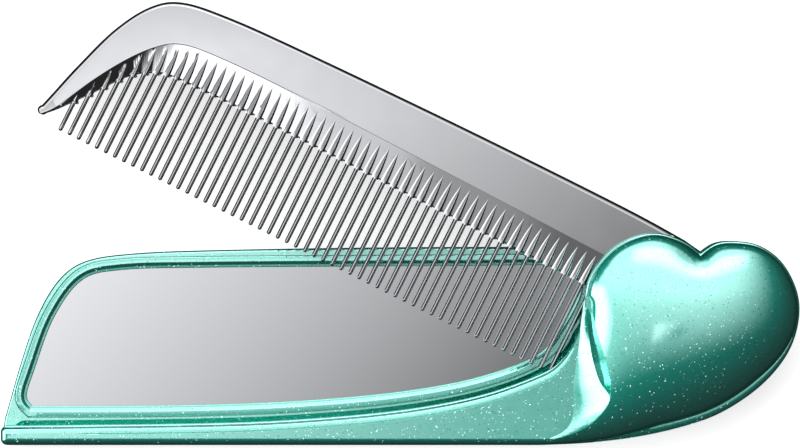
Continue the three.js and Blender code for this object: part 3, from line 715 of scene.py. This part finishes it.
CREST_START_Z = 9.3  # its upper end is sunk to this height, inside the heart's edge
OVER_DOME = 0.03  # the edge stands no higher than this over the dome beside the groove
GROOVE_WIDTH, GROOVE_DEPTH = 1.5, 0.6  # where it is narrower, it is shallower too
GROOVE_TOP = 6.6
HEART_MIDDLE = np.array([0.5, -6])
# How the dome would run on to the left under the crest, from the left lobe down to the lower edge
DOME_BEYOND = [(-16.4, 6.5), (-16.6, 3), (-17.2, -1), (-19.0, -6), (-22, -11), (-26, -15.2)]
# The inside of the shell ends short of the crest
HOLLOW_SIDE = [(-16, 5), (-14.6, -0.2), (-13, -5.4), (-12.8, -9), (-14.3, -13), (-18.1, -15.9), (-22, -17.4)]
# The upper edge in from the outline: a fine ledge, a step, a facet and a cut line. The lower edge is one round.
UPPER_PROFILE = [(0, ROOF_Z), (0, 9.2), (0.04, 9.36), (0.12, 9.46), (0.26, 9.5), (0.34, 9.56), (0.46, 9.84),
                 (0.56, 10.0), (0.66, 10.06), (0.74, 10.08), (1.4, 10.2), (1.46, 10.19), (1.54, 10.09), (1.62, 10.19),
                 (1.7, TAIL_Z)]
CUT_LINE = 1.41  # the profile's points past this belong to the cut line
LOWER_ROUND, LOWER_DROP = 1.2, 1.0
UNDER_HEART = 1.6  # how far inside the heart's edge the plate of bar and tail ends
INSERT_BOSS, INSERT_BOSS_Z = 3.6, 8.79  # radius and lower face
INSERT_HOLE, HOLE_FROM, HOLE_TO = 1.8, 8, 11.9
HOLLOW_Z, DOME_WALL = 8.3, 2


def lower_profile(steps):
    made = [(0, ROOF_Z)]
    for turn in np.radians(np.linspace(0, 90, steps - 2)):
        made.append((LOWER_ROUND * (1 - math.cos(turn)), TAIL_Z - LOWER_DROP * (1 - math.sin(turn))))
    return made + [(LOWER_ROUND + 0.05, TAIL_Z)]


def cover_plate():
    """The bar and the tail. The plate runs on under the heart, well inside its edge. Beside the heart the step along
    the upper edge gets finer, and the cut line runs out before both ends."""
    edge = spline(COVER_EDGE)
    edge = edge[edge[:, 0] > FAR_X + 3]
    near_heart = np.clip((edge[:, 1] + 5.5) / 5, 0, 1)
    width = 1 - near_heart * 0.85
    cut_line = np.clip((edge[:, 0] - FAR_X - 14) / 5, 0, 1) * np.clip((-19.5 - edge[:, 0]) / 3, 0, 1)
    inside = np.clip((heart_x + 16) / 6, 0, 1)
    inside[heart_y > 0] = 1
    rings = []
    for (upper, upper_z), (lower, lower_z) in zip(UPPER_PROFILE, lower_profile(len(UPPER_PROFILE))):
        moved_edge = offset_open(edge, -upper * width)
        depth = (TAIL_Z - upper_z) * (cut_line if upper > CUT_LINE else 1)
        moved_heart = offset_open(heart_curve, -(lower + UNDER_HEART * inside))
        small = max(0.02, BAR_CORNER - max(upper, lower))
        low_small = max(0.02, BAR_CORNER - lower)
        top_arc = arc(FAR_X + lower + small, BAR_TOP - upper - small, small, 90, 90)
        low_arc = arc(FAR_X + lower + low_small, lower - BASE + low_small, low_small, 180, 90)
        line = base_line + np.array([0, lower])
        far_z = TAIL_Z if upper > CUT_LINE else upper_z
        rings.append(np.concatenate([
            raised(moved_heart, lower_z), raised(moved_edge, TAIL_Z - depth),
            raised(top_arc, np.linspace(far_z, lower_z, len(top_arc))),
            raised(low_arc, lower_z), raised(line, lower_z)]))
    return loft(rings)


def ledge_share(places):
    """The ledge is widest at the lower right and shrinks to a fine edge round the lobes."""
    return np.interp(places[:, 1], [-8, 2], [1, 0.25])


def heart_rim():
    """A plate under the dome, whose rounded edge and narrow ledge show all round the heart. On the left it ends
    under the crest."""
    shown = heart_curve[(heart_x > -18) | (heart_y > 0)]
    closed = outline(shown, np.array([(-15.0, 5.0), (-15.0, -10.0), (-18.0, -14.0)]))
    wide = ledge_share(closed)
    turns = np.radians(np.linspace(0, 72, 8))
    rounding = [(HEART_EDGE_Z + HEART_EDGE * math.sin(t), wide * (1 - math.cos(t))) for t in turns]
    rings = [raised(closed, ROOF_Z)] + [raised(offset(closed, -step), z) for z, step in rounding]
    return loft(rings + [raised(offset(closed, -wide - 0.1), LEDGE_Z + LEDGE_RISE)])


def offset_open(points, distance):
    """Moves an open run of points to its right, or to its left where the distance is negative."""
    along = unit(np.gradient(points, axis=0))
    out = np.stack([along[:, 1], -along[:, 0]], axis=1)
    return points + out * np.broadcast_to(distance, len(points))[:, None]


def puffed(closed, base, top, low):
    """A solid whose top swells like a cushion: its height is the square root of an even load's deflection. Its net
    has rings close together at the edge, where it is steep, and an even grid inside them."""
    spacing = 0.55
    rings = [closed] + [inset(closed, d) for d in (0.03, 0.1, 0.2, 0.35, 0.55, 0.8, 1.1, 1.5)]
    lowest, highest = closed.min(0), closed.max(0)
    axes = [np.arange(a, b, spacing) for a, b in zip(lowest, highest)]
    grid = np.stack(np.meshgrid(*axes), axis=-1).reshape(-1, 2)
    grid[:, 0] += spacing / 2 * (np.round(grid[:, 1] / spacing) % 2)
    grid = grid[inside_of(inset(closed, 1.9), grid)]
    points = [Vector(point) for point in np.concatenate([*rings, grid])]
    made = delaunay_2d_cdt(points, [], [list(range(len(closed)))], 1, 1e-6)
    places, triangles = np.array([tuple(v) for v in made[0]]), np.array(list(made[2]))
    order = {source: index for index, sources in enumerate(made[3]) for source in sources}
    edge = [order[i] for i in range(len(closed))]
    rise = deflection(places, triangles, edge)
    heights = base + (top - base) * np.sqrt(rise / rise.max())
    count = len(places)
    below = [count + i for i in range(len(closed))]
    faces = [tuple(int(i) for i in t) for t in triangles]
    for i in range(len(closed)):
        j = (i + 1) % len(closed)
        faces.append((below[i], below[j], edge[j], edge[i]))
    faces.append(tuple(reversed(below)))
    return shell_mesh(np.concatenate([raised(places, heights), raised(closed, low)]), faces)


def inside_of(closed, points):
    x, y = points[:, 0][:, None], points[:, 1][:, None]
    a, b = closed, np.roll(closed, -1, axis=0)
    crosses = (a[:, 1] > y) != (b[:, 1] > y)
    with np.errstate(divide="ignore", invalid="ignore"):
        at = (b[:, 0] - a[:, 0]) * (y - a[:, 1]) / (b[:, 1] - a[:, 1]) + a[:, 0]
    return (crosses & (x < at)).sum(1) % 2 == 1


def deflection(places, triangles, edge):
    """How far an evenly loaded skin over the outline swells, solved on its triangles by conjugate gradients."""
    a, b, c = (places[triangles[:, i]] for i in range(3))
    area = np.abs((b[:, 0] - a[:, 0]) * (c[:, 1] - a[:, 1]) - (b[:, 1] - a[:, 1]) * (c[:, 0] - a[:, 0])) / 2
    starts, ends, weights = [], [], []
    for i, j, k in ((0, 1, 2), (1, 2, 0), (2, 0, 1)):
        p, q, r = places[triangles[:, i]], places[triangles[:, j]], places[triangles[:, k]]
        cotangent = ((p - r) * (q - r)).sum(1) / (2 * area)
        starts += [triangles[:, i], triangles[:, j]]
        ends += [triangles[:, j], triangles[:, i]]
        weights += [cotangent / 2, cotangent / 2]
    starts, ends, weights = map(np.concatenate, (starts, ends, weights))
    count = len(places)
    load = np.bincount(triangles.ravel(), np.repeat(area / 3, 3), count)
    diagonal = np.bincount(starts, weights, count)
    free = np.ones(count)
    free[edge] = 0

    def stiffness(u):
        return (diagonal * u - np.bincount(starts, weights * u[ends], count)) * free

    u, rest = np.zeros(count), load * free
    scaled = rest / diagonal
    direction, strength = scaled.copy(), rest @ scaled
    for _ in range(2000):
        pushed = stiffness(direction)
        step = strength / (direction @ pushed)
        u, rest = u + step * direction, rest - step * pushed
        scaled = rest / diagonal * free
        new_strength = rest @ scaled
        if new_strength < 1e-12:
            break
        direction, strength = scaled + direction * new_strength / strength, new_strength
    return np.clip(u, 0, None)


def dome_solid():
    """The cushion that fills the heart, drawn on past the crest and cut off along the groove."""
    shown = heart_curve[(heart_x > -24.6) | (heart_y > 0)]
    narrowed = np.where(shown[:, 1] < 0, np.interp(shown[:, 0], [-24, -14, -4], [0.05, 0.3, 1]), 1)
    step = LEDGE * ledge_share(shown) * narrowed
    closed = outline(shown, through(DOME_BEYOND, 8), np.array([(-27.2, -18.4)]))
    inward = np.concatenate([step, np.zeros(len(closed) - len(step))])
    moved = offset(closed, -inward)
    moved = moved[(distance_to(closed, moved) > inward * 0.96) | (inward == 0)]
    whole = puffed(moved, DOME_BASE, DOME_Z, ROOF_Z)
    side = through(GROOVE_SIDE, 12)
    side = side[side[:, 1] < GROOVE_TOP]
    far_left, far_down = -60, -40
    left = np.concatenate([side[::-1], [(side[0][0], GROOVE_TOP), (far_left, GROOVE_TOP), (far_left, far_down),
                                        (side[-1][0], far_down)]])
    return whole, combine(whole.copy(), (CUT, plate(left, 0, 2 * DOME_Z)))


def crest_ridge(dome):
    """The crest between the tail and the heart: a slope up to a crisp edge, then the groove down to the dome."""
    tree = BVHTree.FromPolygons([v.co for v in dome.vertices], [p.vertices for p in dome.polygons])

    def dome_height(place):
        hit = tree.ray_cast(Vector((place[0] * MM, place[1] * MM, 1)), Vector((0, 0, -1)))[0]
        return max(DOME_BASE, hit.z / MM) if hit else DOME_BASE

    rings = []
    for foot, top, side in zip(*(through(line, 12) for line in (CREST_FOOT, CREST, GROOVE_SIDE))):
        beside = dome_height(side)
        slope = CREST_SLOPE + CREST_STEEPER * np.interp(top[1], [-4, 2], [0, 1])
        crest = min(beside + OVER_DOME, TAIL_Z + slope * np.linalg.norm(top - foot))
        groove = min(beside, crest) - GROOVE_DEPTH * min(1, np.linalg.norm(side - top) / GROOVE_WIDTH)
        inner = side + (HEART_MIDDLE - side) / np.linalg.norm(HEART_MIDDLE - side) * 0.8
        ring = [(*foot, ROOF_Z + 0.1)]
        for share in np.linspace(0, 1, 11):
            rise = (crest - TAIL_Z + CREST_SINK) * share**CREST_BOW
            ring.append((*(foot + (top - foot) * share), TAIL_Z - CREST_SINK + rise))
        for share in (0.15, 0.4, 0.7, 1):
            ring.append((*(top + (side - top) * share), crest + (groove - 0.02 - crest) * share))
        ring += [(*inner, groove - 0.5), (*inner, ROOF_Z + 0.1)]
        ring = np.array(ring)
        shown = np.interp(top[1], [5.5, 8.7], [1, 0])  # at its upper end the crest comes out of the heart's edge
        ring[1:-1, 2] = CREST_START_Z + (ring[1:-1, 2] - CREST_START_Z) * shown
        rings.append(ring)
    return loft(rings)


hollow_top, hollow_left = HOLLOW_SIDE[0][1] + 1.2, HOLLOW_SIDE[-1][0]
heart_side = heart_curve[(heart_x > hollow_left) & ((heart_y < 0) | (heart_x > 0) | (heart_y > hollow_top))]
hollow_outline = inset(outline(heart_side, spline(HOLLOW_SIDE)), HEART_RIM)
whole_dome, dome = dome_solid()
front_cover_mesh = combine(
    cover_plate(),
    (JOIN, heart_rim()),
    (JOIN, crest_ridge(whole_dome)),
    (JOIN, dome),
    (CUT, puffed(hollow_outline, HOLLOW_Z, DOME_Z - DOME_WALL, ROOF_Z - BEYOND)),
    (JOIN, joining_wall(SPLIT_Z, ROOF_Z + BEYOND)),
    *shell_bosses(SPLIT_Z, ROOF_Z + BEYOND),
    (JOIN, disc(0, 0, INSERT_BOSS, INSERT_BOSS_Z, DOME_Z - BEYOND)),
    (CUT, disc(0, 0, INSERT_HOLE, HOLE_FROM, HOLE_TO)),
    *screw_holes())
front_cover = piece("lacquered_front_cover", front_cover_mesh, teal_lacquer, crease=32)
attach(front_cover, "case")
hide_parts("front_cover")

# Threaded insert
# A turned brass insert in the cover's boss, which the hinge screw goes into.

keep_node("pivot_insert", worked_metal("turned brass", "#cda95c", "#b9924a", 0.25, 0.35, 0.12 * MM))

# Cover screws
# Three small zinc-plated screws from the back, which hold the cover to the shell beside the comb.

for number in (1, 2, 3):
    keep_node(f"cover_screw_{number}", zinc_plate)

# Panel tape
# The same foam tape as under the mirror holds the back panel.

keep_node("panel_tape", foam)

# Back panel
# A thin lacquered plate taped over the screw heads. The case lies on its outer face.

PANEL, OUTER_ROUND, INNER_ROUND = 0.9, 0.3, 0.1  # thickness, and the rounding of its edges
back_panel = piece(
    "lacquered_back_panel",
    stepped(inset(case_outline, PANEL_RIM + FIT), rounded(0, PANEL, OUTER_ROUND, INNER_ROUND)),
    teal_lacquer)
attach(back_panel, "case")
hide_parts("back_panel")

# Studio
# A plain white floor under soft light from all round, brightest behind the case, with a dark horizon.

FLOOR_HALF, PAPER_Z = 3000, -0.01  # just under the face that the case lies on


def floor_finish():
    """White paper: it glows a little to the lens, so that only a faint shadow shows, and is dark in reflections."""
    material, tree = new_finish("white paper")
    path = add(tree, "ShaderNodeLightPath")
    paper = add(tree, "ShaderNodeBsdfDiffuse", {"Color": linear("#ffffff")})
    glow = add(tree, "ShaderNodeEmission", {"Color": linear("#ffffff"), "Strength": 0.75})
    seen = add(tree, "ShaderNodeAddShader", {0: paper.outputs[0], 1: glow.outputs[0]})
    dark = add(tree, "ShaderNodeEmission", {"Color": linear("#202323"), "Strength": 1.0})
    from_lens = path.outputs["Is Camera Ray"]
    shown = add(tree, "ShaderNodeMixShader", {0: from_lens, 1: dark.outputs[0], 2: seen.outputs[0]})
    side = add(tree, "ShaderNodeNewGeometry")
    clear = add(tree, "ShaderNodeBsdfTransparent")
    whole = add(tree, "ShaderNodeMixShader", {0: side.outputs["Backfacing"], 1: shown.outputs[0], 2: clear.outputs[0]})
    return closed_finish(material, whole)


floor_corners = [(x * FLOOR_HALF, y * FLOOR_HALF, PAPER_Z) for x, y in ((-1, -1), (1, -1), (1, 1), (-1, 1))]
floor_mesh = shell_mesh(floor_corners, [(0, 1, 2, 3)])
floor_mesh.materials.append(floor_finish())
floor = new_object("floor", floor_mesh)


def studio_light():
    """Light that differs with the direction it comes from: x to the photo's right, y to its top, z up. Each ramp is
    the soft edge of a bright or a dark area."""
    world = bpy.data.worlds.new("studio")
    bpy.context.scene.world = world
    world.use_nodes = True
    tree = world.node_tree
    tree.nodes.clear()
    direction = add(tree, "ShaderNodeTexCoord").outputs["Generated"]
    way = add(tree, "ShaderNodeSeparateXYZ", {0: direction})
    x, y, z = (way.outputs[i] for i in range(3))

    def ramp(value, start, end, low, high, kind="SMOOTHSTEP"):
        return add(tree, "ShaderNodeMapRange", {
            "Value": value, "From Min": start, "From Max": end, "To Min": low, "To Max": high},
            interpolation_type=kind).outputs["Result"]

    def fold(operation, *values):
        made = values[0]
        for value in values[1:]:
            made = add(tree, "ShaderNodeMath", {0: made, 1: value}, operation=operation).outputs[0]
        return made

    def blend(share, first, second):
        return add(tree, "ShaderNodeMix", {0: share, 2: first, 3: second}).outputs[0]

    # Straight above a bright window, cut off aslant, for the dome and the mirror
    slant = add(tree, "ShaderNodeMath", {0: y, 1: -0.9, 2: x}, operation="MULTIPLY_ADD").outputs[0]
    overhead = ramp(slant, -0.06, 0.06, 1.56, 0.145, "LINEAR")
    above = fold("MULTIPLY", ramp(x, -0.1, -0.078, 0, 1), ramp(x, 0.048, 0.07, 1, 0), ramp(y, -0.06, -0.042, 0, 1),
                 ramp(y, 0.03, 0.05, 1, 0))
    # Round it the room gets brighter towards the photo's top, down to the dark horizon
    lean = add(tree, "ShaderNodeMath", {0: fold("MINIMUM", x, 0), 1: 0.15, 2: y}, operation="MULTIPLY_ADD").outputs[0]
    rising = fold("MULTIPLY", fold("POWER", ramp(lean, -0.34, 0.1, 0, 1), 1.5), 0.85)
    behind = fold("MULTIPLY", fold("ADD", rising, ramp(y, 0.05, 0.3, 0, 0.5)), ramp(x, 0.1, 0.6, 1, 0.03))
    horizon = ramp(y, 0.5, 0.75, 0.45, 0.33)
    over_horizon = ramp(fold("SUBTRACT", z, horizon), 0, 0.17, 0, 1)
    room = fold("MULTIPLY", blend(above, behind, overhead), over_horizon)
    # Two bright cards, low behind the case and low on its left
    card_behind = fold("MULTIPLY", ramp(y, 0.25, 0.6, 0, 2.5), ramp(y, 0.7, 0.9, 1, 0), ramp(x, -0.5, -0.15, 0, 1),
                       ramp(x, 0.12, 0.45, 1, 0), ramp(z, 0.42, 0.62, 0, 1))
    card_left = fold("MULTIPLY", ramp(x, -0.72, -0.42, 2.6, 0), ramp(y, -0.4, -0.22, 0, 1), ramp(y, 0.15, 0.4, 1, 0),
                     ramp(z, 0.15, 0.3, 0, 1))
    light = fold("MAXIMUM", room, card_behind, card_left, 0.03)
    glow = add(tree, "ShaderNodeBackground", {"Color": linear("#ffffff"), "Strength": light})
    white = add(tree, "ShaderNodeBackground", {"Color": linear("#ffffff"), "Strength": 1.0})
    from_lens = add(tree, "ShaderNodeLightPath").outputs["Is Camera Ray"]
    shown = add(tree, "ShaderNodeMixShader", {0: from_lens, 1: glow.outputs[0], 2: white.outputs[0]})
    add(tree, "ShaderNodeOutputWorld", {"Surface": shown.outputs[0]})


studio_light()

# A row of cards, brightest over the far end, that only the comb catches, along the bevel above its teeth
BEVEL_CARDS = [(-155, -50, 70, 1.9), (-107, -77, 26, 0.95), (-80, -77, 28, 0.42), (-31, -77, 70, 0.16)]
CARD_DEPTH, CARD_Z = 80, 400
comb_only = bpy.data.collections.new("lit by the bevel cards")
comb_only.objects.link(comb)
for x, y, width, strength in BEVEL_CARDS:
    bevel_light = bpy.data.lights.new("bevel card", "AREA")
    bevel_light.shape, bevel_light.size, bevel_light.size_y = "RECTANGLE", width * MM, CARD_DEPTH * MM
    bevel_light.energy = strength * math.pi * bevel_light.size * bevel_light.size_y
    bevel_card = new_object("bevel card", bevel_light)
    bevel_card.location = (x * MM, y * MM, CARD_Z * MM)
    bevel_card.visible_camera = False
    bevel_card.light_linking.receiver_collection = comb_only

VIEW_DISTANCE = 1.0
VIEW_WIDTH = 0.14035  # of the plane at the comb's height
VIEW_X, VIEW_Y, VIEW_Z = -49.71, 20.2, 7
SENSOR = 36
camera_data = bpy.data.cameras.new("camera")
camera_data.sensor_width = SENSOR
camera_data.lens = SENSOR * VIEW_DISTANCE / VIEW_WIDTH
camera_data.clip_end = 20
camera = new_object("camera", camera_data)
camera.location = (VIEW_X * MM, VIEW_Y * MM, VIEW_DISTANCE + VIEW_Z * MM)
bpy.context.scene.camera = camera
bpy.context.scene.view_settings.view_transform = "Standard"
